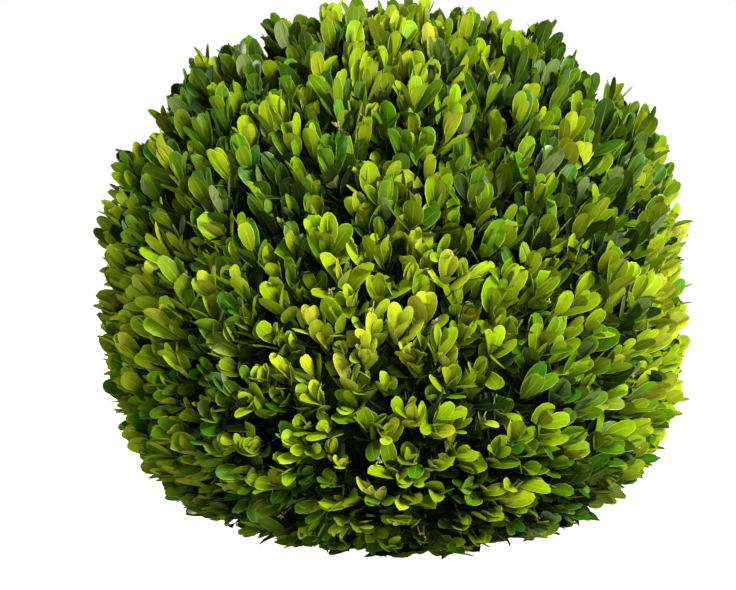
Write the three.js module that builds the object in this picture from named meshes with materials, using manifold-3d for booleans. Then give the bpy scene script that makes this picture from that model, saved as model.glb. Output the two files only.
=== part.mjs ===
// A clipped box topiary ball that is rooted in the ground: a short stem, hidden inside one mass of foliage.
// Millimetres, +Z up. The origin is the middle of the stem's flat cut at ground level.
import * as THREE from 'three';
import { mergeVertices } from 'three/addons/utils/BufferGeometryUtils.js';
import Module from 'manifold-3d';

const wasm = await Module();
wasm.setup();

// The clipped ball, out to its leaf tips.
const BALL_WIDTH = 380;
const BALL_HEIGHT = 357;
const GROUND_CLEARANCE = 2; // the lowest leaf tips stay this far above the ground
const BELLY_SHARE = 0.5; // height of the widest level, as a share of the ball's height
const TOP_SQUARENESS = 2.2; // 2 is an ellipse, more is squarer in side view
const FOOT_SQUARENESS = 2.9; // the ball sits down flatter than it rises
const LUMP_SHARE = 0.018; // how far the hand-clipped face swells and dips, as a share of its radius

// The core of twigs that the leaves stand out of.
const LEAF_DEPTH = 30; // from the clipped face in to the core
const CORE_DETAIL = 2; // subdivisions of the icosahedron

// Shoots, each one a twig with opposite pairs of leaves.
const SHOOTS = 150;
const BELLY_LIFT = 0.95; // how strongly a shoot turns up from straight out, at the belly and above it
const FOOT_LIFT = 0.7; // and at the foot
const LIFT_EASE = 0.6; // how far down the ball, as a share of its radius, the one eases into the other
const PAIRS = 2;
const PAIR_STEP = 4; // along the twig
const TOP_PAIR_ANGLE = THREE.MathUtils.degToRad(29); // between leaf and twig, at the top pair
const PAIR_OPENING = THREE.MathUtils.degToRad(27); // more for each pair below it
const TIP_SCATTER = 7; // some shoots end this much short of the clipped face
const ROOT_DEPTH = 6; // the twig's root lies this deep in the core
const TWIG_RADIUS = 1.8;
const TWIG_SIDES = 3;

// One leaf, larger than life, because the solid carries few of them.
const LEAF_LENGTH = 42;
const LEAF_WIDTH = 26;
const LEAF_THICKNESS = 1.6;
const LEAF_BELLY = 0.56; // where it is widest, as a share of its length
const LEAF_SHOULDER = 0.88; // where it starts to round off, as a share of its length
const SHOULDER_WIDTH = 0.68; // as a share of its width
const LEAF_CUP = 0.22; // how far its edges stand up, as a share of half its width
const SMALLEST_LEAF = 0.86; // scales between which the leaves vary
const LARGEST_LEAF = 1.06;

// The stem.
const STEM_HEIGHT = 150;
const STEM_TOP_RADIUS = 7;
const STEM_FOOT_RADIUS = 13;
const FLARE_RADIUS = 20; // of the flat cut at ground level
const FLARE_HEIGHT = 24;
const FLARE_RINGS = 4; // steps up the flare
const UPPER_RINGS = 3; // steps from there to the top
const STEM_LEAN = 7; // how far the top stands to one side of the foot
const STEM_SIDES = 16;
const CLEARANCE = 0.3; // between the stem and the foliage

const UP = new THREE.Vector3(0, 0, 1);
const EAST = new THREE.Vector3(1, 0, 0);
const NEARLY_UPRIGHT = 0.9; // the rise of a direction from which sideways is taken from EAST, not UP
const GOLDEN_ANGLE = Math.PI * (3 - Math.sqrt(5));
const BELLY_HEIGHT = BALL_HEIGHT * BELLY_SHARE;
const MIDDLE = new THREE.Vector3(0, 0, BELLY_HEIGHT);

// A repeatable draw between 0 and 1 for one thing and one purpose.
function chance(index, salt) {
  const drawn = Math.sin(index * 12.9898 + salt * 78.233) * 43758.5453;
  return drawn - Math.floor(drawn);
}

// How far the clipped face lies from the middle of the ball in one direction.
function reach(direction) {
  const up = direction.z > 0;
  const halfHeight = up ? BALL_HEIGHT - BELLY_HEIGHT : BELLY_HEIGHT - GROUND_CLEARANCE;
  const power = up ? TOP_SQUARENESS : FOOT_SQUARENESS;
  const out = Math.hypot(direction.x, direction.y) / (BALL_WIDTH / 2);
  const along = Math.abs(direction.z) / halfHeight;
  const { x, y, z } = direction;
  const lump = Math.sin(5.1 * x + 1.3) * Math.sin(4.3 * y + 0.7) * Math.cos(4.7 * z + 0.4);
  return (out ** power + along ** power) ** (-1 / power) * (1 + LUMP_SHARE * (lump - 0.5));
}

// Whether a point lies within the ball's own space.
function inSpace(point) {
  const offset = point.clone().sub(MIDDLE);
  return offset.length() <= reach(offset.clone().normalize()) && point.z >= GROUND_CLEARANCE;
}

// A manifold solid from a closed geometry.
function solidOf(geometry) {
  const bare = geometry.clone();
  bare.deleteAttribute('normal');
  bare.deleteAttribute('uv');
  const merged = mergeVertices(bare, 1e-4);
  const vertProperties = new Float32Array(merged.attributes.position.array);
  const triVerts = new Uint32Array(merged.index.array);
  return new wasm.Manifold(new wasm.Mesh({ numProp: 3, vertProperties, triVerts }));
}

// A geometry from a manifold solid.
function geometryOf(solid) {
  const { vertProperties, triVerts } = solid.getMesh();
  const geometry = new THREE.BufferGeometry();
  geometry.setAttribute('position', new THREE.BufferAttribute(vertProperties, 3));
  geometry.setIndex(new THREE.BufferAttribute(triVerts, 1));
  geometry.computeVertexNormals();
  return geometry;
}

// The stem's radius at a height: an even taper, and a flare that eases in towards the ground.
function stemRadius(height) {
  const taper = THREE.MathUtils.lerp(STEM_FOOT_RADIUS, STEM_TOP_RADIUS, height / STEM_HEIGHT);
  const flare = (FLARE_RADIUS - STEM_FOOT_RADIUS) * Math.max(0, 1 - height / FLARE_HEIGHT) ** 2;
  return taper + flare;
}

// The stem, or with a clearance the socket that it stands in. It leans more the higher it rises.
function stemGeometry(clearance) {
  const top = STEM_HEIGHT + clearance;
  const flare = Array.from({ length: FLARE_RINGS }, (_, ring) => (FLARE_HEIGHT * ring) / FLARE_RINGS);
  const rise = (top - FLARE_HEIGHT) / UPPER_RINGS;
  const upper = Array.from({ length: UPPER_RINGS }, (_, ring) => FLARE_HEIGHT + rise * ring);
  const heights = [...flare, ...upper, top];
  const wall = heights.map((height) => new THREE.Vector2(stemRadius(height) + clearance, height));
  const profile = [new THREE.Vector2(0, 0), ...wall, new THREE.Vector2(0, top)];
  const geometry = new THREE.LatheGeometry(profile, STEM_SIDES).rotateX(Math.PI / 2);
  const position = geometry.attributes.position;
  for (let i = 0; i < position.count; i++) {
    const share = position.getZ(i) / STEM_HEIGHT;
    position.setX(i, position.getX(i) + STEM_LEAN * share ** 2);
  }
  return geometry;
}

// The core: the clipped face drawn in by the depth of the leaves.
function coreGeometry() {
  const geometry = new THREE.IcosahedronGeometry(1, CORE_DETAIL);
  const position = geometry.attributes.position;
  const direction = new THREE.Vector3();
  for (let i = 0; i < position.count; i++) {
    direction.fromBufferAttribute(position, i).normalize();
    direction.multiplyScalar(reach(direction) - LEAF_DEPTH).add(MIDDLE);
    position.setXYZ(i, direction.x, direction.y, direction.z);
  }
  return geometry;
}

// A closed shape from a ring of rim points, ordered about +Z, and one point on each side of the ring.
function lens(rim, above, below) {
  const points = [...rim, above, below];
  const faces = rim.flatMap((_, i) => {
    const next = (i + 1) % rim.length;
    return [i, next, rim.length, next, i, rim.length + 1];
  });
  const geometry = new THREE.BufferGeometry();
  geometry.setAttribute('position', new THREE.Float32BufferAttribute(points.flat(), 3));
  geometry.setIndex(faces);
  return geometry;
}

// One leaf from its narrow base at the origin along +Y to its round tip, with its upper side towards +Z.
function leafGeometry(scale) {
  const length = LEAF_LENGTH * scale;
  const half = (LEAF_WIDTH * scale) / 2;
  const belly = length * LEAF_BELLY;
  const rim = [
    [0, 0, 0],
    [half, belly, half * LEAF_CUP],
    [half * SHOULDER_WIDTH, length * LEAF_SHOULDER, (half * LEAF_CUP) / 2],
    [0, length, 0],
    [-half * SHOULDER_WIDTH, length * LEAF_SHOULDER, (half * LEAF_CUP) / 2],
    [-half, belly, half * LEAF_CUP],
  ];
  return lens(rim, [0, belly, LEAF_THICKNESS / 2], [0, belly, -LEAF_THICKNESS / 2]);
}

// Places a shape that lies along +Y: it starts at one point, runs along one direction and faces another.
function placed(geometry, start, along, facing) {
  const across = new THREE.Vector3().crossVectors(along, facing).normalize();
  const face = new THREE.Vector3().crossVectors(across, along);
  return geometry.applyMatrix4(new THREE.Matrix4().makeBasis(across, along, face).setPosition(start));
}

// How far back from a tip, against its direction, a shoot has to run to root in the core.
function shootLength(tip, along) {
  for (let length = LEAF_DEPTH; length < 4 * LEAF_DEPTH; length += 1) {
    const root = tip.clone().addScaledVector(along, -length).sub(MIDDLE);
    if (root.length() < reach(root.clone().normalize()) - LEAF_DEPTH - ROOT_DEPTH) return length;
  }
  return 0;
}

// Even directions all round the ball: a spiral from top to bottom.
function outwardOf(index) {
  const z = 1 - (2 * index + 1) / SHOOTS;
  const flat = Math.sqrt(1 - z * z);
  const turn = index * GOLDEN_ANGLE;
  return new THREE.Vector3(flat * Math.cos(turn), flat * Math.sin(turn), z);
}

// The direction of the shoot that stands at one place on the ball: straight out, turned up.
function alongOf(outward) {
  const drop = Math.min(1, Math.max(0, -outward.z / LIFT_EASE));
  return outward.clone().addScaledVector(UP, THREE.MathUtils.lerp(BELLY_LIFT, FOOT_LIFT, drop)).normalize();
}

// A direction square to the given one.
function sideOf(along) {
  const other = Math.abs(along.z) > NEARLY_UPRIGHT ? EAST : UP;
  return new THREE.Vector3().crossVectors(along, other).normalize();
}

// The leaves of one shoot in opposite pairs, each pair turned a quarter from the last and opened wider.
function leafSolids(index, top, along) {
  const side = sideOf(along);
  const other = new THREE.Vector3().crossVectors(along, side);
  const spin = 2 * Math.PI * chance(index, 2);
  const solids = [];
  for (let leaf = 0; leaf < 2 * PAIRS; leaf++) {
    const pair = Math.floor(leaf / 2);
    const about = spin + (pair / 2 + leaf) * Math.PI;
    const away = side.clone().multiplyScalar(Math.cos(about)).addScaledVector(other, Math.sin(about));
    const angle = TOP_PAIR_ANGLE + pair * PAIR_OPENING;
    const run = along.clone().multiplyScalar(Math.cos(angle)).addScaledVector(away, Math.sin(angle));
    const facing = along.clone().multiplyScalar(Math.sin(angle)).addScaledVector(away, -Math.cos(angle));
    const draw = chance(index * PAIRS * 2 + leaf, 3);
    const scale = THREE.MathUtils.lerp(SMALLEST_LEAF, LARGEST_LEAF, draw);
    const start = top.clone().addScaledVector(along, -pair * PAIR_STEP);
    const end = start.clone().addScaledVector(run, LEAF_LENGTH * scale);
    if (inSpace(end)) solids.push(solidOf(placed(leafGeometry(scale), start, run, facing)));
  }
  return solids;
}

// One shoot: its twig and its leaves, without any that meets the stem's socket.
function shoot(index, socket) {
  const outward = outwardOf(index);
  const along = alongOf(outward);
  const shortfall = TIP_SCATTER * chance(index, 1) ** 2;
  const tip = outward.clone().multiplyScalar(reach(outward) - shortfall).add(MIDDLE);
  const length = shootLength(tip, along);
  if (length === 0) return [];
  const root = tip.clone().addScaledVector(along, -length);
  const topPair = length - LEAF_LENGTH * Math.cos(TOP_PAIR_ANGLE);
  const twigLength = topPair + PAIR_STEP;
  const cone = new THREE.ConeGeometry(TWIG_RADIUS, twigLength, TWIG_SIDES).translate(0, twigLength / 2, 0);
  const twig = solidOf(placed(cone, root, along, sideOf(along)));
  if (!twig.intersect(socket).isEmpty()) return [];
  const leaves = leafSolids(index, root.clone().addScaledVector(along, topPair), along);
  return [twig, ...leaves.filter((leaf) => leaf.intersect(socket).isEmpty())];
}

// The core, cut clear of the stem, with every shoot fused on. Only the one large body is kept, so a loose
// scrap goes and a sealed hollow is filled.
function foliageGeometry() {
  const socket = solidOf(stemGeometry(CLEARANCE));
  const core = solidOf(coreGeometry()).subtract(socket);
  const shoots = Array.from({ length: SHOOTS }, (_, index) => shoot(index, socket)).flat();
  const bodies = wasm.Manifold.union([core, ...shoots]).decompose();
  return geometryOf(bodies.reduce((largest, body) => (body.volume() > largest.volume() ? body : largest)));
}

const foliageMaterial = new THREE.MeshStandardMaterial({ color: 0x4a6410, roughness: 0.5, metalness: 0 });
const barkMaterial = new THREE.MeshStandardMaterial({ color: 0x8a7a5c, roughness: 0.9, metalness: 0 });

const plant = new THREE.Group();
const stem = new THREE.Mesh(stemGeometry(0), barkMaterial);
stem.name = 'main_stem';
const foliage = new THREE.Mesh(foliageGeometry(), foliageMaterial);
foliage.name = 'foliage_ball';
plant.add(stem, foliage);

export default plant;
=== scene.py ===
"""A clipped box topiary ball: a barked stem, boughs, twigs and some twenty-three thousand small leaves.

Metres, +Z up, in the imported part's own frame: the origin lies under the stem, at ground level.
"""
import logging
import math
from dataclasses import dataclass, field, fields
from enum import Enum

import bpy
import numpy as np
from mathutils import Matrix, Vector


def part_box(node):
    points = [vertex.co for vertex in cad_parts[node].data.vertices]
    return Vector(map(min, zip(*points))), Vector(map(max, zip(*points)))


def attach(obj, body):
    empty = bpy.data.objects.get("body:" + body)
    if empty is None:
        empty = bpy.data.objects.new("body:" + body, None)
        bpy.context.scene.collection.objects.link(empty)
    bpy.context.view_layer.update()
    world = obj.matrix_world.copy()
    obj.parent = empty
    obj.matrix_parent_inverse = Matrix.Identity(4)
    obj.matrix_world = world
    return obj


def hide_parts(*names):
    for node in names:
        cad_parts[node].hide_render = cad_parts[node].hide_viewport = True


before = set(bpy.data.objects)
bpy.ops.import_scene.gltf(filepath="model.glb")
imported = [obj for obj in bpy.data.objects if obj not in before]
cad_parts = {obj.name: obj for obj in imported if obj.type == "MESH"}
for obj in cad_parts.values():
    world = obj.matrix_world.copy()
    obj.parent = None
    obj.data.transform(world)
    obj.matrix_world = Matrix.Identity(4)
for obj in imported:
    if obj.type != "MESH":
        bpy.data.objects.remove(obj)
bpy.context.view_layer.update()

LOG = logging.getLogger("box_topiary_ball")

Array = np.ndarray
Socket = bpy.types.NodeSocket
Sockets = bpy.types.bpy_prop_collection
Colour = tuple[float, float, float]  # linear light
Screen = tuple[int, int, int]  # a screen colour, 0 to 255 a channel
Span = tuple[float, float]

UP = np.array([0.0, 0.0, 1.0])
EAST = np.array([1.0, 0.0, 0.0])
OFF_UPRIGHT = UP + 0.01 * EAST  # a direction that no limb runs in exactly
NEARLY_UPRIGHT = 0.9  # the rise of a direction from which sideways is taken from EAST, not UP
GOLDEN_ANGLE = math.pi * (3.0 - math.sqrt(5.0))
UV_NAME = "OFBake"
TILES = 4  # tiles a side on the leaves' map: the lower two rows are upper faces, the others undersides
TILE_FILL = 0.92  # share of a tile's side that a leaf takes
LOWEST = 0.001  # a leaf or twig that meets the ground lies along it, this high
KEYS_A_SPRIG = 40  # leaf numbers kept for each sprig
BUMP_STRENGTH = 0.6
WHITE = (1.0, 1.0, 1.0, 1.0)
WHOLE: Span = (0.0, 1.0)


# ---------------------------------------------------------------- the growth rule


def chance(index: Array, salt: int) -> Array:
    """Repeatable draws from 0 to 1: the fraction of a large sine of each index and of the purpose's salt."""
    drawn = np.sin(np.asarray(index, float) * 12.9898 + salt * 78.233) * 43758.5453
    return drawn - np.floor(drawn)


def between(index: Array, salt: int, low: float, high: float) -> Array:
    """Draws evenly spread from low to high."""
    return low + (high - low) * chance(index, salt)


def scatter(index: Array, salt: int, reach: float) -> Array:
    """An offset for each index: a draw for each axis, evenly spread up to the reach to either side."""
    return np.stack([between(index, salt + axis, -reach, reach) for axis in range(3)], axis=1)


def unit(vectors: Array) -> Array:
    """The vectors along the last axis, each made one long."""
    return vectors / np.maximum(np.linalg.norm(vectors, axis=-1, keepdims=True), 1e-12)


def spiral(count: int) -> Array:
    """Even directions all round, from top to bottom: each a golden angle on from the last.

    Args:
        count: how many directions.

    Returns:
        Unit vectors, one a row.
    """
    index = np.arange(count)
    rise = 1 - (2 * index + 1) / count
    flat = np.sqrt(1 - rise**2)
    turn = index * GOLDEN_ANGLE
    return np.stack([flat * np.cos(turn), flat * np.sin(turn), rise], axis=1)


def turns(count: int) -> Array:
    """Angles evenly round a circle."""
    return np.arange(count) * 2 * math.pi / count


def ring(side: Array, other: Array, count: int) -> Array:
    """Directions round a circle: for each angle its cosine of the one side and its sine of the other."""
    angle = turns(count)[:, None]
    return np.cos(angle) * side[..., None, :] + np.sin(angle) * other[..., None, :]


def sides_of(along: Array) -> tuple[Array, Array]:
    """Two directions square to each given one and to each other.

    Args:
        along: unit vectors, one a row.

    Returns:
        The first and the second sideways direction of each.
    """
    upright = np.abs(along[:, 2:3]) > NEARLY_UPRIGHT
    side = unit(np.cross(along, np.where(upright, EAST, UP)))
    return side, np.cross(along, side)


@dataclass(frozen=True)
class ClippedFace:
    """The ball's clipped face, which every leaf keeps within, and the way that wood grows out to it."""

    width: float
    height: float
    clearance: float = 0.002  # the lowest leaf tips stay this far above the ground
    belly_share: float = 0.5  # height of the widest level, as a share of the ball's height
    top_squareness: float = 2.2  # 2 is an ellipse, more is squarer in side view
    foot_squareness: float = 2.9
    lump_share: float = 0.018  # how far the hand-clipped face swells and dips
    belly_lift: float = 0.95  # how strongly wood turns up from straight out, at the belly and above it
    foot_lift: float = 0.7  # and at the foot
    lift_ease: float = 0.6  # how far down the ball, as a share of its radius, the one eases into the other

    @property
    def middle(self) -> Array:
        """The point that directions are measured from."""
        return np.array([0.0, 0.0, self.height * self.belly_share])

    def reach(self, directions: Array) -> Array:
        """How far the face lies from the middle: a squared-off ellipse with a slow swell over it.

        Args:
            directions: unit vectors along the last axis.

        Returns:
            The distance in metres for each direction.
        """
        x, y, z = np.moveaxis(directions, -1, 0)
        above = self.height * (1 - self.belly_share)
        below = self.height * self.belly_share - self.clearance
        power = np.where(z > 0, self.top_squareness, self.foot_squareness)
        out = np.hypot(x, y) / (self.width / 2)
        along = np.abs(z) / np.where(z > 0, above, below)
        lump = np.sin(5.1 * x + 1.3) * np.sin(4.3 * y + 0.7) * np.cos(4.7 * z + 0.4)
        return (out**power + along**power) ** (-1 / power) * (1 + self.lump_share * (lump - 0.5))

    def drop(self, outward: Array) -> Array:
        """How far each place is from the belly towards the foot: 0 at the belly and above, 1 well below."""
        return np.clip(-outward[:, 2:3] / self.lift_ease, 0, 1)

    def lifted(self, outward: Array) -> Array:
        """The directions in which wood ends: straight out, turned up, and less so towards the foot."""
        return outward + (self.belly_lift + (self.foot_lift - self.belly_lift) * self.drop(outward)) * UP

    def holds(self, points: Array, leeway: float | Array) -> Array:
        """Whether each point lies within the face and above the ground.

        Args:
            points: places, one a row.
            leeway: how far outside the face a point may lie.

        Returns:
            True or False for each.
        """
        offset = points - self.middle
        near = np.linalg.norm(offset, axis=-1) <= self.reach(unit(offset)) + leeway
        return near & (points[:, 2] >= self.clearance)


# ---------------------------------------------------------------- meshes from arrays


@dataclass(frozen=True)
class Facets:
    """The faces of one shape that is repeated: corners of all faces in a row, and where each face starts."""

    corners: Array
    starts: Array
    uvs: Array | None

    @staticmethod
    def of(faces: list[tuple[int, ...]], uvs: list[list[tuple[float, float]]] | None = None) -> "Facets":
        """The facets from a plain list of faces.

        Args:
            faces: the vertex numbers of each face, in order about its outward side.
            uvs: a place on the map for each corner of each face, if it has them.

        Returns:
            The same faces as arrays.
        """
        lengths = np.array([len(face) for face in faces])
        starts = np.concatenate([[0], np.cumsum(lengths)[:-1]])
        flat = None if uvs is None else np.array([uv for face in uvs for uv in face], float)
        return Facets(np.concatenate([np.array(face) for face in faces]), starts, flat)


def joined_mesh(name: str, points: Array, facets: Facets) -> bpy.types.Object:
    """One object from many copies of one shape, whose vertices are given copy by copy.

    Args:
        name: the object's name.
        points: places with the shape (copies, vertices, 3).
        facets: the faces of one copy.

    Returns:
        The new object, at the origin, with smooth faces.
    """
    copies, size = points.shape[:2]
    step = np.arange(copies)[:, None]
    corners = (facets.corners[None, :] + step * size).ravel()
    starts = (facets.starts[None, :] + step * len(facets.corners)).ravel()
    mesh = bpy.data.meshes.new(name)
    mesh.vertices.add(copies * size)
    mesh.vertices.foreach_set("co", points.astype(np.float32).ravel())
    mesh.loops.add(len(corners))
    mesh.loops.foreach_set("vertex_index", corners.astype(np.int32))
    mesh.polygons.add(len(starts))
    mesh.polygons.foreach_set("loop_start", starts.astype(np.int32))
    mesh.update(calc_edges=True)
    mesh.polygons.foreach_set("use_smooth", np.ones(len(starts), bool))
    piece = bpy.data.objects.new(name, mesh)
    bpy.context.scene.collection.objects.link(piece)
    return piece


def sharpen(mesh: bpy.types.Mesh, rim: Array) -> None:
    """Marks each edge between two rim vertices as sharp.

    Args:
        mesh: a mesh whose edges are worked out.
        rim: True for each vertex that lies on a leaf's rim.
    """
    ends = np.empty(len(mesh.edges) * 2, np.int32)
    mesh.edges.foreach_get("vertices", ends)
    sharp = rim[ends].reshape(-1, 2).all(axis=1)
    mesh.attributes.new("sharp_edge", "BOOLEAN", "EDGE").data.foreach_set("value", sharp)


def dress(piece: bpy.types.Object, material: bpy.types.Material, slot: str, *nodes: str) -> None:
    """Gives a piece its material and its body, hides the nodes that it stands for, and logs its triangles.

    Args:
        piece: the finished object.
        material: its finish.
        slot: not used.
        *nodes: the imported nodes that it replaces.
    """
    piece.data.materials.clear()
    piece.data.materials.append(material)
    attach(piece, "root")
    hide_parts(*nodes)
    piece.data.calc_loop_triangles()
    LOG.info("%s: %d triangles", piece.name, len(piece.data.loop_triangles))


# ---------------------------------------------------------------- wood


@dataclass
class Limbs:
    """Tapering limbs, each from a start to an end with its direction at both."""

    start: Array
    start_run: Array
    end: Array
    end_run: Array
    start_radius: Array
    end_radius: Array

    @property
    def count(self) -> int:
        """How many limbs there are."""
        return len(self.start)

    def at(self, share: Array) -> Array:
        """Places along each limb: a cubic curve that leaves its start and meets its end in their directions.

        Args:
            share: 0 at the start to 1 at the end, with the shape (steps,).

        Returns:
            Places with the shape (limbs, steps, 3).
        """
        t = share[None, :, None]
        pull = np.linalg.norm(self.end - self.start, axis=1)[:, None, None]
        first = self.start[:, None] * (2 * t**3 - 3 * t**2 + 1)
        first = first + self.start_run[:, None] * pull * (t**3 - 2 * t**2 + t)
        last = self.end[:, None] * (3 * t**2 - 2 * t**3) + self.end_run[:, None] * pull * (t**3 - t**2)
        return first + last


@dataclass(frozen=True)
class LimbHabit:
    """How one order of limbs sets out, and how thick it is."""

    salt: int  # the number for the draws at its start, and the next one for those at its end
    foot: Span  # radii at its start
    tip: Span  # and at its end
    set_out: float = 0.8  # how strongly it sets out straight to its end, beside its parent's direction

    def limbs(self, start: Array, start_run: Array, end: Array, end_run: Array) -> Limbs:
        """Limbs with their own radii.

        Args:
            start: where each starts.
            start_run: its direction there.
            end: where it ends.
            end_run: its direction there.

        Returns:
            The limbs.
        """
        index = np.arange(len(start))
        radii = between(index, self.salt, *self.foot), between(index, self.salt + 1, *self.tip)
        return Limbs(start, start_run, end, end_run, *radii)

    def grow(self, parents: Limbs, ways: Array, outward: Array, end: Array, end_run: Array) -> Limbs:
        """Limbs that grow on from others, each from the end of the one that lies nearest its own way out.

        Args:
            parents: the limbs that they grow from.
            ways: the way out to each parent's end.
            outward: the way out to each new limb's end.
            end: where each new limb ends.
            end_run: its direction there.

        Returns:
            The new limbs.
        """
        parent = np.argmax(outward @ ways.T, axis=1)
        start_run = unit(parents.end_run[parent] + self.set_out * outward)
        return self.limbs(parents.end[parent], start_run, end, end_run)


@dataclass(frozen=True)
class TubeShape:
    """How finely a limb's tube is drawn."""

    sides: int
    steps: int
    gnarl: float = 0.0  # how unevenly the radius swells, as a share of it
    lobes: int = 3  # swellings round a limb
    twist: float = 9.0  # the angle that they turn by from its start to its end
    next_turn: float = 1.7  # and from one limb to the next

    def facets(self) -> Facets:
        """Quads round the wall and a fan at each end, all facing out.

        Returns:
            The faces of one limb, whose rings come first and then the middles of its two ends.
        """
        sides, steps = self.sides, self.steps
        start, end = sides * steps, sides * steps + 1
        faces: list[tuple[int, ...]] = []
        for step in range(steps - 1):
            for side in range(sides):
                here, there = step * sides + side, step * sides + (side + 1) % sides
                faces.append((here, there, there + sides, here + sides))
        for side in range(sides):
            after = (side + 1) % sides
            faces.append((start, after, side))
            faces.append((end, (steps - 1) * sides + side, (steps - 1) * sides + after))
        return Facets.of(faces)

    def build(self, name: str, limbs: Limbs) -> bpy.types.Object:
        """Draws all the limbs as one piece: a circle carried along each curve, with a slow swell.

        Args:
            name: the piece's name.
            limbs: the limbs to draw.

        Returns:
            The new object.
        """
        share = np.linspace(0, 1, self.steps)
        centre = limbs.at(share)
        run = unit(np.gradient(centre, axis=1))
        side = unit(np.cross(run, OFF_UPRIGHT))
        radius = limbs.start_radius[:, None] * (1 - share) + limbs.end_radius[:, None] * share
        index = np.arange(limbs.count)[:, None, None]
        turn = self.lobes * turns(self.sides) + index * self.next_turn + share[None, :, None] * self.twist
        swell = 1 + self.gnarl * np.sin(turn)
        across = ring(side, np.cross(run, side), self.sides)
        wall = centre[:, :, None] + across * (radius[:, :, None] * swell)[..., None]
        ends = centre[:, [0, -1]]
        points = np.concatenate([wall.reshape(limbs.count, -1, 3), ends], axis=1)
        points[..., 2] = np.maximum(points[..., 2], LOWEST)
        return joined_mesh(name, points, self.facets())


@dataclass
class Stem:
    """The short main stem: a tapering, leaning post with a flared foot and ridged bark."""

    height: float
    flare_radius: float
    foot_share: float = 0.65  # of the flare's radius, above the flare
    top_share: float = 0.35
    flare_height: float = 0.024
    lean: float = 0.007
    rings: int = 110
    sides: int = 96
    relief: float = 0.0011  # how deep the bark's furrows are
    ridges: int = 9  # round the stem
    plates: int = 9  # up the stem, with cracks across the ridges between them
    crack_share: float = 0.3  # of the relief
    lobe: float = 0.05  # how far three broad swellings round the stem stand out, as a share of its radius

    def radius(self, height: Array) -> Array:
        """The smooth radius: an even taper, and a flare that grows as a square towards the ground.

        Args:
            height: heights above the ground.

        Returns:
            The radius at each height.
        """
        share = np.clip(height / self.height, 0, 1)
        taper = self.flare_radius * (self.foot_share + (self.top_share - self.foot_share) * share)
        flare = self.flare_radius * (1 - self.foot_share) * np.clip(1 - height / self.flare_height, 0, 1) ** 2
        return taper + flare

    def axis(self, height: Array) -> Array:
        """The middle of the stem at each height: it leans more the higher it rises."""
        share = height / self.height
        return np.stack([self.lean * share**2, 0 * share, height], axis=-1)

    def build(self) -> bpy.types.Object:
        """Draws the stem: its radius on a grid of height and angle, less furrows that wander and fork.

        The furrows lie where a sine of the angle passes nought, and two waves of the height shift them. The
        cracks across lie where a sine of the height does. Low powers make both narrow.

        Returns:
            The new object, closed at both ends.
        """
        height = np.linspace(0, self.height, self.rings)
        rise, turn = np.meshgrid(height / self.height, turns(self.sides), indexing="ij")
        wander = 0.9 * np.sin(7 * rise + 1.1) + 0.5 * np.sin(17 * rise + 2 * np.sin(turn))
        furrows = np.abs(np.sin(self.ridges / 2 * turn + wander)) ** 0.6
        plates = np.abs(np.sin(self.plates * rise * math.pi + 2.5 * np.sin(3 * turn))) ** 0.4
        lobes = self.lobe * np.sin(3 * turn + 1.5 * rise)
        relief = self.relief * (furrows * (1 - self.crack_share + self.crack_share * plates) - 1)
        radius = self.radius(height)[:, None] * (1 + lobes - self.lobe) + relief
        centre = self.axis(height)
        wall = np.stack([radius * np.cos(turn), radius * np.sin(turn), 0 * turn], axis=-1) + centre[:, None]
        points = np.concatenate([wall.reshape(-1, 3), centre[[0, -1]]])[None]
        return joined_mesh("barked_stem", points, TubeShape(self.sides, self.rings).facets())


@dataclass
class Boughs:
    """The woody frame inside the ball: limbs that fork from the stem out to where the twigs start."""

    face: ClippedFace
    stem: Stem
    first: int = 15  # limbs from the stem
    second: int = 150  # limbs from those, which carry the twigs
    first_share: float = 0.42  # how far out the first limbs reach, as a share of the face's distance
    second_depth: float = 0.066  # how far inside the face the second limbs end
    stray: float = 0.006  # how far an end is off its even place, along each axis
    lowest: float = 0.012  # how low an end may be
    fork_fall: float = 0.45  # how far below its end a first limb leaves the stem, as a share of its way out
    lowest_fork: float = 0.03
    highest_fork: float = 0.96  # as a share of the stem's height
    rise_share: float = 0.2  # of its rise that a first limb has where it leaves the stem
    first_habit: LimbHabit = LimbHabit(14, foot=(0.0038, 0.0052), tip=(0.0022, 0.0028))
    second_habit: LimbHabit = LimbHabit(20, foot=(0.0018, 0.0022), tip=(0.0011, 0.0014), set_out=1.0)

    def _ends(self, outward: Array, distance: Array, salt: int) -> Array:
        """Where limbs end: out from the middle, a little scattered, and kept above the ground.

        Args:
            outward: the way out to each end.
            distance: how far out each lies.
            salt: the number for the scatter's draws.

        Returns:
            The place of each end.
        """
        strayed = scatter(np.arange(len(outward)), salt, self.stray)
        ends = self.face.middle + outward * distance[:, None] + strayed
        ends[:, 2] = np.maximum(ends[:, 2], self.lowest)
        return ends

    def grow(self) -> tuple[Limbs, Limbs]:
        """Works out both orders of limbs, each rooted where its parent ends.

        Returns:
            The limbs from the stem, and the limbs from those.
        """
        outward = spiral(self.first)
        ends = self._ends(outward, self.first_share * self.face.reach(outward), 11)
        fork = ends[:, 2] - self.fork_fall * np.hypot(ends[:, 0], ends[:, 1])
        fork = np.clip(fork, self.lowest_fork, self.highest_fork * self.stem.height)
        leaving = unit(self.face.lifted(outward * np.array([1, 1, self.rise_share])))
        arriving = unit(self.face.lifted(outward))
        first = self.first_habit.limbs(self.stem.axis(fork), leaving, ends, arriving)
        fine = spiral(self.second)
        ends = self._ends(fine, self.face.reach(fine) - self.second_depth, 17)
        second = self.second_habit.grow(first, outward, fine, ends, unit(self.face.lifted(fine)))
        return first, second


# ---------------------------------------------------------------- leaves


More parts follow.
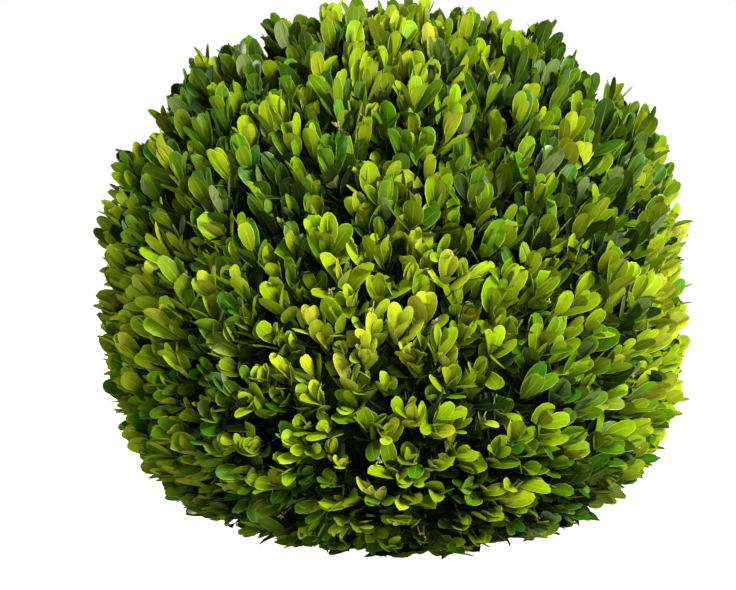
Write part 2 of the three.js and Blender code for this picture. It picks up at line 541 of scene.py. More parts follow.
@dataclass
class Leaves:
    """Many leaves, each a row in every array."""

    base: Array
    run: Array  # from base to tip
    facing: Array  # out of the upper face
    length: Array
    width: Array
    fold: Array  # how far the halves stand up from the midrib
    curl: Array  # how far the edges turn back down
    bend: Array  # how far the tip bends away from the upper face, as an angle
    sway: Array  # how far the tip leans to one side, as a share of the length
    cut: Array  # where the shears went through, as a share of the length: 1 is whole
    taper: Array  # the power by which the leaf narrows to its base
    notch: Array  # how deeply the tip is notched, as a share of the length
    score: Array  # higher for a paler leaf: a younger one, and one under painted light rather than painted shade
    tile: Array  # the variant of the leaf's pattern

    def select(self, mask: Array) -> "Leaves":
        """The leaves for which the mask holds."""
        return Leaves(*(getattr(self, one.name)[mask] for one in fields(self)))

    @staticmethod
    def join(groups: list["Leaves"]) -> "Leaves":
        """All the groups' leaves in one."""
        return Leaves(*(np.concatenate([getattr(g, one.name) for g in groups]) for one in fields(Leaves)))


@dataclass(frozen=True)
class Blade:
    """The grid that a leaf is drawn on: rows from base to tip, columns from edge to edge."""

    levels: tuple[float, ...] = (0.13, 0.38, 0.64, 0.85, 0.965)  # the rows' shares of the length
    columns: int = 5
    thickness: float = 0.00035
    tip_power: float = 0.5  # how bluntly the outline closes at the tip
    notch_width: float = 0.35  # of the half width
    notch_from: float = 0.8  # how far along a leaf its notch starts to draw the tip in
    cut_bulge: float = 0.2  # of the tip beyond the last row, what a sheared edge keeps
    least_bend: float = 0.01  # a straighter leaf is drawn with this bend

    @property
    def rows(self) -> int:
        """How many rows lie between the poles."""
        return len(self.levels)

    @property
    def size(self) -> int:
        """Vertices in one leaf: two poles, the upper face with its rim, and the underside inside the rim."""
        return 2 + self.rows * self.columns + self.rows * (self.columns - 2)

    def _numbers(self) -> tuple[Array, Array]:
        """Numbers the vertices: the base, the upper face row by row, the tip, and the underside.

        Returns:
            The numbers of the upper and the lower grid, which share the rim's columns.
        """
        upper = 1 + np.arange(self.rows * self.columns).reshape(self.rows, self.columns)
        lower = upper.copy()
        inner = self.columns - 2
        lower[:, 1:-1] = 2 + self.rows * self.columns + np.arange(self.rows * inner).reshape(self.rows, inner)
        return upper, lower

    def grid(self) -> tuple[Array, Array, Array]:
        """Lays the vertices out on the flat leaf. They are furthest from the rim at the midrib, as a square.

        Returns:
            Each vertex's share of the length, its place across from -1 to 1, and its side from -1 to 1.
        """
        rows = np.array(self.levels)
        across = np.linspace(-1, 1, self.columns)
        u, s, side = np.zeros(self.size), np.zeros(self.size), np.zeros(self.size)
        upper, lower = self._numbers()
        for numbers, sign in ((lower, -1.0), (upper, 1.0)):
            u[numbers] = rows[:, None]
            s[numbers] = across[None, :]
            side[numbers] = sign * (1 - across[None, :] ** 2)
        u[1 + self.rows * self.columns] = 1.0
        return u, s, side

    def facets(self) -> Facets:
        """The faces of both sides, facing out.

        Returns:
            The faces of one leaf, with a place in the first tile for each corner.
        """
        u, s, _ = self.grid()
        base, tip = 0, 1 + self.rows * self.columns
        faces: list[tuple[int, ...]] = []
        uvs: list[list[tuple[float, float]]] = []
        for numbers, row_shift in zip(self._numbers(), (0, TILES // 2)):
            found: list[tuple[int, ...]] = []
            for col in range(self.columns - 1):
                found.append((base, numbers[0, col + 1], numbers[0, col]))
                found.append((numbers[-1, col], numbers[-1, col + 1], tip))
                for row in range(self.rows - 1):
                    near, far = numbers[row], numbers[row + 1]
                    found.append((near[col], near[col + 1], far[col + 1], far[col]))
            for face in found:
                ordered = face if row_shift == 0 else face[::-1]
                faces.append(tuple(int(n) for n in ordered))
                uvs.append([self._place(u[n], s[n], row_shift) for n in ordered])
        return Facets.of(faces, uvs)

    @staticmethod
    def _place(u: float, s: float, row_shift: int) -> tuple[float, float]:
        """A vertex's place on the map, in the first tile of its side's rows."""
        return (0.5 + 0.5 * TILE_FILL * s) / TILES, (row_shift + 0.5 + TILE_FILL * (u - 0.5)) / TILES

    def points(self, leaves: Leaves) -> Array:
        """Bends every leaf's grid into shape and carries it to its place.

        The half width is the length's share to the leaf's own power, times the square root of what is left,
        so a leaf tapers to its base and rounds off at its tip. Each half rises from the midrib by the fold
        and turns back down by the curl, and the whole bends along a circle. The notch draws the tip in.

        Args:
            leaves: the leaves to draw.

        Returns:
            Places with the shape (leaves, vertices, 3).
        """
        u, s, side = self.grid()
        last = np.max(u[u < 1])
        whole = np.ones((len(leaves.cut), 1)) * u
        clipped = leaves.cut[:, None] * np.minimum(u / last, 1 + self.cut_bulge * (u - last))[None]
        u_leaf = np.where(leaves.cut[:, None] < 1, clipped, whole)
        taper, close = leaves.taper[:, None], self.tip_power
        widest = taper / (taper + close)
        shape = u_leaf**taper * np.clip(1 - u_leaf, 0, 1) ** close / (widest**taper * (1 - widest) ** close)
        half = leaves.width[:, None] / 2 * shape
        near_tip = np.clip((u_leaf - self.notch_from) / (1 - self.notch_from), 0, 1) ** 2
        u_leaf = u_leaf - leaves.notch[:, None] * near_tip * np.exp(-((s / self.notch_width) ** 2))
        bend = np.where(np.abs(leaves.bend) < self.least_bend, self.least_bend, leaves.bend)[:, None]
        length = leaves.length[:, None]
        x = s * half + leaves.sway[:, None] * length * u_leaf**2
        y = length * np.sin(bend * u_leaf) / bend
        rise = half * (leaves.fold[:, None] * np.abs(s) - leaves.curl[:, None] * np.abs(s) ** 3)
        z = rise - length * (1 - np.cos(bend * u_leaf)) / bend + side * self.thickness / 2
        across = np.cross(leaves.run, leaves.facing)
        local = np.stack([x, y, z], axis=-1)
        axes = np.stack([across, leaves.run, leaves.facing], axis=1)
        points = leaves.base[:, None] + np.einsum("nvk,nkc->nvc", local, axes)
        points[..., 2] = np.maximum(points[..., 2], LOWEST)
        return points

    def build(self, name: str, leaves: Leaves) -> bpy.types.Object:
        """Draws the leaves as one piece, with the leaves' map and a crisp rim.

        Args:
            name: the piece's name.
            leaves: the leaves to draw.

        Returns:
            The new object.
        """
        facets = self.facets()
        piece = joined_mesh(name, self.points(leaves), facets)
        column, row = leaves.tile % TILES, leaves.tile // TILES
        shift = np.stack([column, row], axis=1)[:, None] / TILES
        layer = piece.data.uv_layers.new(name=UV_NAME)
        layer.data.foreach_set("uv", (facets.uvs[None] + shift).astype(np.float32).ravel())
        _, _, side = self.grid()
        sharpen(piece.data, np.tile(side == 0, len(leaves.tile)))
        return piece


@dataclass(frozen=True)
class LeafHabit:
    """How leaves differ: the ranges that each draws its own size and shape from."""

    length: float = 0.0248
    own_size: Span = (0.78, 1.12)
    sprig_size: Span = (0.82, 1.16)  # shared by all the leaves of a sprig
    foot_shrink: float = 0.06  # how much smaller leaves are at the foot
    top_size: float = 0.8  # of the top pair, which is still growing
    inner_size: float = 1.1  # of the leaves deep inside, which are full-grown
    width: Span = (0.38, 0.48)  # as a share of the length
    sprig_width: Span = (0.86, 1.14)  # shared by all the leaves of a sprig
    fold: Span = (0.05, 0.7)
    fold_power: float = 1.3  # more makes deep folds rarer
    curl: Span = (0.05, 0.3)
    bend: Span = (-0.35, 0.55)
    sway: Span = (-0.05, 0.05)
    whole_share: float = 0.96  # of the outer leaves: the shears went through the others
    cut: Span = (0.62, 0.86)
    taper: Span = (0.62, 1.05)
    round_share: float = 0.8  # of the leaves: the others have a notch at the tip
    notch: Span = (0.015, 0.05)

    def size(self, sprig: Array, key: Array, drop: Array, number: int, outer: bool) -> Array:
        """Each leaf's size beside a middling one.

        Args:
            sprig: the sprig's number for each leaf.
            key: each leaf's own number.
            drop: how far each leaf is down towards the foot.
            number: the pair, 0 for the top one.
            outer: whether the pair shows, and isn't deep inside.

        Returns:
            One size for each leaf.
        """
        size = between(key, 45, *self.own_size) * between(sprig, 46, *self.sprig_size)
        size = size * (1 - self.foot_shrink * drop)
        if number == 0:
            size = size * self.top_size
        return size if outer else size * self.inner_size


@dataclass(frozen=True)
class AgeAndShadeRule:
    """How pale the leaves are over the ball: a higher score is for a younger leaf, and for one under painted
    light rather than painted shade.
    """

    by_sprig: float = 0.40  # how much each cause counts
    by_patch: float = 0.22
    # the lower pairs are darker: partly older leaves, partly painted shade deep in the sprig
    by_pair: float = 0.36
    by_leaf: float = 0.20
    shoulder_painted_shade: float = 0.14  # how much painted shade darkens the leaves on the shoulder
    shoulder: float = 0.42  # the shoulder's height, as the rise of the way out to it
    shoulder_spread: float = 0.22
    top_painted_shade: float = 0.14  # how much painted shade darkens those on the top
    top_from: float = 0.5  # where the top starts, as the rise of the way out to it
    top_ease: float = 0.3
    foot_painted_shade: float = 0.15  # how much painted shade darkens those at the foot
    front_painted_light: float = 0.14  # how much painted light pales those in a patch low on the front
    front: tuple[float, float, float] = (0.05, -1.0, -0.38)  # the way out to that patch
    front_spread: float = 0.1

    def score(
        self, tips: Array, outward: Array, drop: Array, pair_height: float, draws: tuple[Array, Array]
    ) -> Array:
        """Adds up the causes: slow waves over the ball for patches of fresher growth, and painted light and
        shade by place on the ball and by depth in the sprig.

        Args:
            tips: the place of each leaf's sprig.
            outward: the way out to it.
            drop: how far it is down towards the foot.
            pair_height: 1 for the top pair to 0 for the lowest.
            draws: the sprig's and the leaf's own draw.

        Returns:
            One score for each leaf.
        """
        x, y, z = tips.T
        patch = 0.5 + 0.5 * np.sin(120 * x + 40 * y + 2) * np.sin(105 * z + 90 * y)
        # painted light and shade: paler down the middle and at the sides, darker in two upright bands between
        # them
        patch = patch + 0.35 * np.cos(31 * x)
        score = self.by_sprig * draws[0] + self.by_patch * patch
        score = score + self.by_pair * pair_height + self.by_leaf * draws[1]
        off_shoulder = (outward[:, 2] - self.shoulder) / self.shoulder_spread
        score = score - self.shoulder_painted_shade * np.exp(-(off_shoulder**2)) - self.foot_painted_shade * drop**2
        score = score - self.top_painted_shade * np.clip((outward[:, 2] - self.top_from) / self.top_ease, 0, 1)
        off_front = (1 - outward @ unit(np.array(self.front))) / self.front_spread
        return score + self.front_painted_light * np.exp(-(off_front**2))


@dataclass
class Sprigs:
    """The leafy tips of the twigs, even all over the ball, each with opposite pairs of leaves."""

    face: ClippedFace
    habit: LeafHabit = LeafHabit()
    # how pale each leaf is: its age, and painted light and shade over the ball
    age: AgeAndShadeRule = AgeAndShadeRule()
    count: int = 1750
    outer_pairs: int = 3
    inner_pairs: int = 4
    unevenness: float = 0.7  # how far a sprig stands from its even place, as a share of the spacing
    belly_stray: float = 0.13  # how far a sprig's direction strays by itself, at the belly
    foot_stray: float = 0.36  # and at the foot
    top_stray: float = 0.46  # and at the top
    drift: float = 0.08  # how far neighbouring sprigs stray together
    tip_scatter: float = 0.022  # how far short of the face one sprig may end by itself
    scatter_power: float = 1.5  # more keeps most tips close to the face
    clump_depth: float = 0.009  # how far clumps of sprigs sink in together
    foot_evenness: float = 0.85  # how much of both is lost at the foot, which the ground evens out
    leafy_length: float = 0.040  # from a sprig's tip down to its lowest leaves' bases
    lowest_base: float = 0.002  # how far above the lowest tips a leaf's base stays
    top_reach: float = 0.75  # how far the top pair reaches past its base, as a share of a leaf
    pair_step: float = 0.0066
    inner_step: float = 0.0050  # more for each pair deep inside
    stalk: float = 0.0006  # from the twig's middle to a leaf's base
    spin: Span = (-0.45, 0.45)  # how far a leaf turns round the twig from its even place
    opening: float = 0.12  # the angle between leaf and twig at the top pair, and as much more for each below
    sprig_opening: Span = (0.6, 1.5)  # by which a whole sprig opens less or more
    own_opening: Span = (-0.1, 0.14)  # by which one leaf opens less or more
    wild_share: float = 0.07  # of the leaves, which open much wider
    wild_opening: Span = (0.3, 1.0)
    light_out: float = 0.4  # how strongly leaves turn their faces outward
    light_up: float = 0.2  # and up
    foot_tilt: float = 2.0  # and up at the foot
    foot_turn: float = 0.7  # the least share of these turns that a leaf at the foot takes
    roll: Span = (-0.5, 0.5)  # how far a leaf rolls about its own length
    foot_rise: float = 0.2  # how strongly leaves at the foot grow up
    skirt: float = 0.045  # the height below which they come back to level, over the ground
    foot_level: float = 0.8  # how far most leaves at the foot are laid level
    free_share: float = 0.3  # of the foot's sprigs, which aren't
    leeway: float = 0.007  # how far a side leaf may stand proud of the face
    inner_depth: float = 0.006  # how far inside it the inner leaves stay
    lost_share: float = 0.06  # of the outer leaves
    twig_habit: LimbHabit = LimbHabit(57, foot=(0.0009, 0.0011), tip=(0.0004, 0.0006))
    run_on: float = 0.002  # how far a twig runs on past its top pair
    tips: Array = field(init=False)
    along: Array = field(init=False)
    outward: Array = field(init=False)

    def __post_init__(self) -> None:
        """Places every sprig: its way out, its tip just inside the face, and its direction."""
        index = np.arange(self.count)
        gap = math.sqrt(4 * math.pi / self.count)
        self.outward = unit(spiral(self.count) + self.unevenness * gap * scatter(index, 31, 0.5))
        drop = self.face.drop(self.outward)
        rise = np.clip(self.outward[:, 2:3], 0, 1) ** 2
        own = self.belly_stray + (self.foot_stray - self.belly_stray) * drop
        own = own + (self.top_stray - self.belly_stray) * rise
        drifts = self._drifts()
        self.along = unit(self.face.lifted(self.outward) + own * scatter(index, 35, 1) + self.drift * drifts)
        shortfall = self.tip_scatter * chance(index, 39) ** self.scatter_power
        shortfall = shortfall + self.clump_depth * np.abs(drifts[:, 0])
        shortfall = shortfall * (1 - self.foot_evenness * drop[:, 0])
        distance = self.face.reach(self.outward) - shortfall
        self.tips = self.face.middle + self.outward * distance[:, None]
        room = (self.tips[:, 2] - self.face.clearance - self.lowest_base) / self.leafy_length
        self.along[:, 2] = np.minimum(self.along[:, 2], room)
        self.along = unit(self.along)

    def _drifts(self) -> Array:
        """A slow swirl over the ball, by which whole clumps of sprigs lean one way: a sine for each axis.

        Returns:
            One direction for each sprig, each part from -1 to 1.
        """
        x, y, z = self.outward.T
        first = np.sin(11 * z + 6 * y + 1.2) * np.cos(9 * x + 0.4)
        second = np.sin(8 * x - 6 * z + 2.1) * np.cos(6 * y + 1.9)
        third = np.sin(10 * x + 7 * y + 0.3) * np.cos(8 * z - 0.8)
        return np.stack([first, second, third], axis=1)

    def tops(self) -> Array:
        """Where each sprig's top pair sits: below its tip by a top leaf's reach."""
        return self.tips - self.along * (self.top_reach * self.habit.length)

    def _directions(
        self, sprig: Array, key: Array, away: Array, drop: Array, number: int
    ) -> tuple[Array, Array]:
        """The way each leaf of a pair runs and faces.

        It runs along the twig and away from it by its opening, and faces back over the twig, turned towards
        the light. At the foot most leaves are laid level with their faces up.

        Args:
            sprig: the sprig's number for each leaf.
            key: each leaf's own number.
            away: the direction from the twig to each leaf.
            drop: how far each leaf is down towards the foot.
            number: the pair, 0 for the top one.

        Returns:
            The direction from base to tip, and the one out of the upper face.
        """
        along = self.along[sprig]
        wild = np.where(chance(key, 63) < self.wild_share, between(key, 64, *self.wild_opening), 0.0)
        opening = (self.opening + self.opening * number) * between(sprig, 62, *self.sprig_opening)
        opening = opening + between(key, 42, *self.own_opening) + wild
        cos, sin = np.cos(opening)[:, None], np.sin(opening)[:, None]
        raised = np.clip(self.tips[sprig, 2] / self.skirt - 0.5, 0, 1)
        run = along * cos + away * sin + (self.foot_rise * drop * raised)[:, None] * UP
        level = self.foot_level * drop**2 * (chance(sprig, 67) > self.free_share)
        run = unit(run * np.stack([np.ones_like(level), np.ones_like(level), 1 - level], axis=1))
        light = self.light_out * self.outward[sprig]
        light = light + (self.light_up + self.foot_tilt * drop**3)[:, None] * UP
        turn = np.maximum(chance(key, 43), self.foot_turn * drop**3)
        facing = along * sin - away * cos + light * turn[:, None]
        facing = unit(facing - run * np.sum(facing * run, axis=1, keepdims=True))
        roll = between(key, 44, *self.roll) * (1 - level)
        return run, facing * np.cos(roll)[:, None] + np.cross(run, facing) * np.sin(roll)[:, None]

    def pair(self, number: int) -> Leaves:
        """The leaves of one pair on every sprig, each pair a quarter turn on from the one above.

        Args:
            number: 0 for the top pair.

        Returns:
            Both leaves of that pair on all sprigs, less any that leave the ball's space.
        """
        habit, outer = self.habit, number < self.outer_pairs
        sprig = np.repeat(np.arange(self.count), 2)
        half = np.tile([0, 1], self.count)
        key = sprig * KEYS_A_SPRIG + number * 2 + half
        side, other = sides_of(self.along[sprig])
        about = 2 * math.pi * chance(sprig, 2) + (number / 2 + half) * math.pi + between(key, 41, *self.spin)
        away = side * np.cos(about)[:, None] + other * np.sin(about)[:, None]
        drop = self.face.drop(self.outward)[sprig, 0]
        run, facing = self._directions(sprig, key, away, drop, number)
        depth = number * self.pair_step + max(0, number - self.outer_pairs) * self.inner_step
        base = self.tops()[sprig] - self.along[sprig] * depth + away * self.stalk
        length = habit.length * habit.size(sprig, key, drop, number, outer)
        pair_height = 1 - number / (self.outer_pairs + self.inner_pairs - 1)
        draws = (chance(sprig, 47), chance(key, 48))
        sheared = outer & (chance(key, 49) > habit.whole_share)
        notched = chance(key, 60) > habit.round_share
        leaves = Leaves(
            base=base,
            run=run,
            facing=facing,
            length=length,
            width=length * between(key, 50, *habit.width) * between(sprig, 66, *habit.sprig_width),
            fold=between(key, 51, *habit.fold) ** habit.fold_power,
            curl=between(key, 52, *habit.curl),
            bend=between(key, 53, *habit.bend),
            sway=between(key, 54, *habit.sway),
            cut=np.where(sheared, between(key, 55, *habit.cut), 1.0),
            taper=between(key, 59, *habit.taper),
            notch=np.where(notched, between(key, 61, *habit.notch), 0.0),
            score=self.age.score(self.tips[sprig], self.outward[sprig], drop, pair_height, draws),
            tile=np.floor(between(key, 56, 0, TILES * TILES // 2)).astype(int),
        )
        leeway = self.leeway * (1 - drop) if outer else -self.inner_depth
        tip = base + run * (length * leaves.cut)[:, None]
        kept = (chance(key, 65) > self.lost_share) | (not outer)
        return leaves.select(kept & self.face.holds(tip, leeway) & self.face.holds(base, 0.0))

    def twigs(self, parents: Limbs) -> Limbs:
        """The twig under each sprig, rooted where the nearest limb ends.

        Args:
            parents: the limbs that the twigs grow from.

        Returns:
            One limb for each sprig.
        """
        ways = unit(parents.end - self.face.middle)
        ends = self.tops() + self.along * self.run_on
        return self.twig_habit.grow(parents, ways, self.outward, ends, self.along)


@dataclass
class Buds:
    """Little clusters of dry buds on bare twigs, just inside the face."""

    face: ClippedFace
    clusters: int = 60
    each: int = 7  # buds in a cluster
    length: float = 0.0022
    radius: float = 0.0007
    size: Span = (0.7, 1.15)
    spread: float = 0.0014  # how far from the twig's end they sit
    lean: float = 0.7  # how strongly they point on along the twig
    depth: Span = (0.010, 0.019)  # how far inside the face the twigs end
    unevenness: float = 0.15  # how far a twig's way out strays from its even place
    rise_share: float = 0.92  # of its rise or drop that a twig's way out keeps
    twig_habit: LimbHabit = LimbHabit(75, foot=(0.0008, 0.0010), tip=(0.0005, 0.0006))
    blunt: float = 0.06  # a bud's first and last ring stand this share of its length from its ends
    plumpness: float = 0.8  # less swells nearer to its base
    shape: TubeShape = TubeShape(6, 5)

    def twigs(self, parents: Limbs) -> Limbs:
        """The bare twigs, rooted where the nearest limb ends.

        Args:
            parents: the limbs that the twigs grow from.

        Returns:
            One limb for each cluster.
        """
        index = np.arange(self.clusters)
        even = spiral(self.clusters) * np.array([1, 1, self.rise_share])
        outward = unit(even + scatter(index, 71, self.unevenness))
        depth = between(index, 74, *self.depth)
        ends = self.face.middle + outward * (self.face.reach(outward) - depth)[:, None]
        ways = unit(parents.end - self.face.middle)
        return self.twig_habit.grow(parents, ways, outward, ends, unit(self.face.lifted(outward)))

    def build(self, twigs: Limbs) -> bpy.types.Object:
        """Draws the buds: each a circle swept along its own axis with a radius that swells as a sine.

        Args:
            twigs: the bare twigs, which carry the buds at their ends.

        Returns:
            The new object.
        """
        twig = np.repeat(np.arange(self.clusters), self.each)
        key = np.arange(len(twig))
        axis = unit(unit(scatter(key, 77, 1)) + self.lean * twigs.end_run[twig])
        share = np.linspace(self.blunt, 1 - self.blunt, self.shape.steps)
        size = between(key, 80, *self.size)[:, None, None, None]
        swell = (self.radius * np.sin(math.pi * share**self.plumpness))[None, :, None, None] * size
        across = ring(*sides_of(axis), self.shape.sides)[:, None]
        base = twigs.end[twig] + axis * (self.spread * chance(key, 81))[:, None]
        centre = base[:, None, None] + axis[:, None, None] * (self.length * share)[None, :, None, None] * size
        wall = (centre + across * swell).reshape(len(twig), -1, 3)
        ends = np.stack([base, base + axis * self.length * size[:, 0, 0]], axis=1)
        return joined_mesh("bud_clusters", np.concatenate([wall, ends], axis=1), self.shape.facets())


# ---------------------------------------------------------------- materials


def linear(colour: Screen) -> Colour:
    """A screen colour as the linear light that shaders take."""
    shares = [channel / 255 for channel in colour]
    return tuple(c / 12.92 if c <= 0.04045 else ((c + 0.055) / 1.055) ** 2.4 for c in shares)


class Graph:
    """Adds nodes to one node tree, in few words."""

    def __init__(self, tree: bpy.types.NodeTree) -> None:
        """Works on the given tree."""
        self.tree = tree

    def node(self, kind: str, **settings: object) -> bpy.types.Node:
        """A new node with the given properties set.

        Args:
            kind: the node's type.
            **settings: its properties by name.

        Returns:
            The node.
        """
        made = self.tree.nodes.new(kind)
        for key, value in settings.items():
            setattr(made, key, value)
        return made

    def feed(self, socket: Socket, value: Socket | float | Colour) -> None:
        """Links a socket to another, or sets its own value.

        Args:
            socket: the input that takes the value.
            value: another node's output, or a plain number or colour.
        """
        if isinstance(value, bpy.types.NodeSocket):
            self.tree.links.new(value, socket)
        elif isinstance(value, tuple) and socket.type == "RGBA":
            socket.default_value = (*value, 1.0)
        else:
            socket.default_value = value

    def math(self, operation: str, *values: Socket | float) -> Socket:
        """The result of a Math node.

        Args:
            operation: what the node does.
            *values: what it does it to.

        Returns:
            The node's output.
        """
        made = self.node("ShaderNodeMath", operation=operation)
        for socket, value in zip(made.inputs, values):
            self.feed(socket, value)
        return made.outputs[0]

    def scaled(self, value: Socket, factor: float, shift: Socket | float = 0.0) -> Socket:
        """A value times a factor, and shifted."""
        return self.math("MULTIPLY_ADD", value, factor, shift)

    def ramp(self, value: Socket, span: Span, start: Socket | float = 0.0, end: float = 1.0) -> Socket:
        """A smooth step.

        Args:
            value: what the step follows.
            span: where it begins and where it ends.
            start: the result up to there.
            end: the result from there on.

        Returns:
            The stepped value.
        """
        made = self.node("ShaderNodeMapRange", interpolation_type="SMOOTHSTEP")
        for socket, given in zip(made.inputs, (value, *span, start, end)):
            self.feed(socket, given)
        return made.outputs[0]

    def mix(self, share: Socket | float, first: Socket | Colour, second: Socket | Colour) -> Socket:
        """Two colours mixed.

        Args:
            share: how much of the second.
            first: the one colour.
            second: the other.

        Returns:
            The mixed colour.
        """
        made = self.node("ShaderNodeMix", data_type="RGBA")
        self.feed(made.inputs[0], share)
        self.feed(made.inputs[6], first)
        self.feed(made.inputs[7], second)
        return made.outputs[2]

    def noise(self, vector: Socket, scale: Socket | float, detail: float = 3.0) -> Socket:
        """Soft noise.

        Args:
            vector: where it is read.
            scale: how fine it is.
            detail: how many finer layers it has.

        Returns:
            The noise, from 0 to 1.
        """
        made = self.node("ShaderNodeTexNoise")
        self.feed(made.inputs["Vector"], vector)
        self.feed(made.inputs["Scale"], scale)
        self.feed(made.inputs["Detail"], detail)
        return made.outputs["Fac"]


def new_group(name: str, inputs: dict[str, str], outputs: dict[str, str]) -> tuple[Graph, Sockets, Sockets]:
    """An empty shader node group with named sockets.

    Args:
        name: the group's name.
        inputs: socket kind by input name.
        outputs: socket kind by output name.

    Returns:
        The graph to fill, the group's input sockets and its output sockets.
    """
    tree = bpy.data.node_groups.new(name, "ShaderNodeTree")
    for label, kind in inputs.items():
        tree.interface.new_socket(label, in_out="INPUT", socket_type=kind)
    for label, kind in outputs.items():
        tree.interface.new_socket(label, in_out="OUTPUT", socket_type=kind)
    graph = Graph(tree)
    return graph, graph.node("NodeGroupInput").outputs, graph.node("NodeGroupOutput").inputs


COLOUR, FLOAT = "NodeSocketColor", "NodeSocketFloat"
PATTERN_OUTPUTS = {"Colour": COLOUR, "Roughness": FLOAT, "Height": FLOAT}


@dataclass(frozen=True)
class LeafPattern:
    """The leaves' pattern on their map: midrib, veins, a pale margin that is partly a painted highlight,
    mottling, painted shade towards the base, painted light and shade on the two halves, and a tone for each
    tile.

    Places across a leaf are shares of its half width, and places along it are shares of its length.
    """

    rib: Span = (0.02, 0.08)  # across, where the midrib gives way to the blade
    rib_fade: Span = (0.55, 1.0)  # along, where it thins out
    rib_end: float = 0.25  # how much of it is left at the tip
    rib_paleness: float = 0.4
    edge: Span = (0.91, 0.96)  # across, where the pale margin begins: partly the leaf's paler margin, partly a painted highlight where its thin edge catches the light
    margin_highlight_strength: float = 0.8
    veins: float = 62.0  # how close they stand along the leaf
    vein_slant: float = 13.0  # how far they run on towards the tip as they run out
    vein_power: float = 0.35  # less makes them finer
    vein_depth: float = 0.1  # how much darker they are
    vein_relief: float = 0.3  # beside the midrib's
    mottle_scale: float = 2.3
    mottle_depth: float = 0.5
    noise_length: float = 2.0  # how much of the noise a leaf's length spans: its width spans 2
    speck_scale: float = 11.0
    speck_roughness: float = 0.2
    apart: tuple[float, float] = (7.0, 9.0)  # how far a column and a row of tiles lie apart in the noise
    base_shading: Span = (0.0, 0.85)  # along, where the painted shade at a leaf's base fades towards its lighter tip
    shaded_base_light: float = 0.24
    tip_light: float = 0.72
    tile_light: Span = (0.9, 1.14)  # from the darkest tile to the lightest
    tile_hue: float = 0.03  # how far apart their hues are
    least_hue: float = 0.485  # where 0.5 changes nothing
    half_draws: float = 7.0  # makes a second draw out of a tile's first
    half_shading: float = 0.5  # how much painted light and shade set the two halves of a leaf apart, at their edges, as if its fold turned one half to the light

    def _places(self, graph: Graph) -> tuple[Socket, Socket, Socket, Socket]:
        """Where a point lies on the leaves' map.

        Args:
            graph: the group that is being filled.

        Returns:
            The place across its leaf, from -1 to 1, the place along it, and its tile's column and row.
        """
        parts = graph.node("ShaderNodeSeparateXYZ")
        graph.feed(parts.inputs[0], graph.node("ShaderNodeUVMap", uv_map=UV_NAME).outputs[0])
        wide, tall = (graph.math("MULTIPLY", parts.outputs[axis], float(TILES)) for axis in (0, 1))
        across = graph.scaled(graph.math("FRACT", wide), 2 / TILE_FILL, -1 / TILE_FILL)
        along = graph.scaled(graph.math("FRACT", tall), 1 / TILE_FILL, 0.5 - 0.5 / TILE_FILL)
        return across, along, graph.math("FLOOR", wide), graph.math("FLOOR", tall)

    def _tone(self, graph: Graph, across: Socket, draw: Socket, light: Socket, body: Socket) -> Socket:
        """The blade's colour with its tile's own hue and lightness, and painted light and shade that set its
        two halves a little apart.

        Args:
            graph: the group that is being filled.
            across: the place across the leaf.
            draw: the tile's own draw, from 0 to 1.
            light: how light the blade is at each place.
            body: the blade's colour.

        Returns:
            The toned colour.
        """
        light = graph.math("MULTIPLY", light, graph.ramp(draw, WHOLE, *self.tile_light))
        second = graph.math("FRACT", graph.math("MULTIPLY", draw, self.half_draws))
        # painted light on one half of the leaf and painted shade on the other
        fold_shading = graph.math("MULTIPLY", across, graph.math("SUBTRACT", second, 0.5))
        light = graph.math("MULTIPLY", light, graph.scaled(fold_shading, self.half_shading, 1.0))
        tone = graph.node("ShaderNodeHueSaturation")
        graph.feed(tone.inputs["Hue"], graph.scaled(draw, self.tile_hue, self.least_hue))
        graph.feed(tone.inputs["Value"], light)
        graph.feed(tone.inputs["Color"], body)
        return tone.outputs[0]

    def build(self) -> bpy.types.NodeTree:
        """Builds the group.

        Returns:
            A group that puts out a colour, a roughness and a height.
        """
        colours = {"Upper": COLOUR, "Under": COLOUR, "Rib": COLOUR}
        inputs = {**colours, "Upper Roughness": FLOAT, "Under Roughness": FLOAT}
        graph, given, out = new_group("leaf_pattern", inputs, PATTERN_OUTPUTS)
        across, along, column, row = self._places(graph)
        out_from_rib = graph.math("ABSOLUTE", across)
        under = graph.math("GREATER_THAN", row, TILES / 2 - 0.5)

        tile = graph.node("ShaderNodeCombineXYZ")
        graph.feed(tile.inputs[0], column)
        graph.feed(tile.inputs[1], row)
        luck = graph.node("ShaderNodeTexWhiteNoise", noise_dimensions="3D")
        graph.feed(luck.inputs["Vector"], tile.outputs[0])
        spread = graph.node("ShaderNodeCombineXYZ")
        graph.feed(spread.inputs[0], graph.scaled(column, self.apart[0], across))
        graph.feed(spread.inputs[1], graph.scaled(row, self.apart[1], graph.scaled(along, self.noise_length)))
        mottle = graph.noise(spread.outputs[0], self.mottle_scale)
        speck = graph.noise(spread.outputs[0], self.speck_scale, detail=2.0)

        rib = graph.ramp(out_from_rib, self.rib, 1.0, 0.0)
        rib = graph.math("MULTIPLY", rib, graph.ramp(along, self.rib_fade, 1.0, self.rib_end))
        edge = graph.ramp(out_from_rib, self.edge)
        slant = graph.scaled(out_from_rib, -self.vein_slant, graph.scaled(along, self.veins))
        vein = graph.math("POWER", graph.math("ABSOLUTE", graph.math("SINE", slant)), self.vein_power)

        # painted shade: darker at the base, where the leaves around it shade it, lighter towards the tip
        light = graph.ramp(along, self.base_shading, self.shaded_base_light, self.tip_light)
        light = graph.scaled(mottle, self.mottle_depth, light)
        light = graph.math("MULTIPLY", light, graph.scaled(vein, self.vein_depth, 1 - self.vein_depth))
        body = graph.mix(under, given["Upper"], given["Under"])
        toned = self._tone(graph, across, luck.outputs["Value"], light, body)
        ribbed = graph.mix(graph.scaled(rib, self.rib_paleness), toned, given["Rib"])
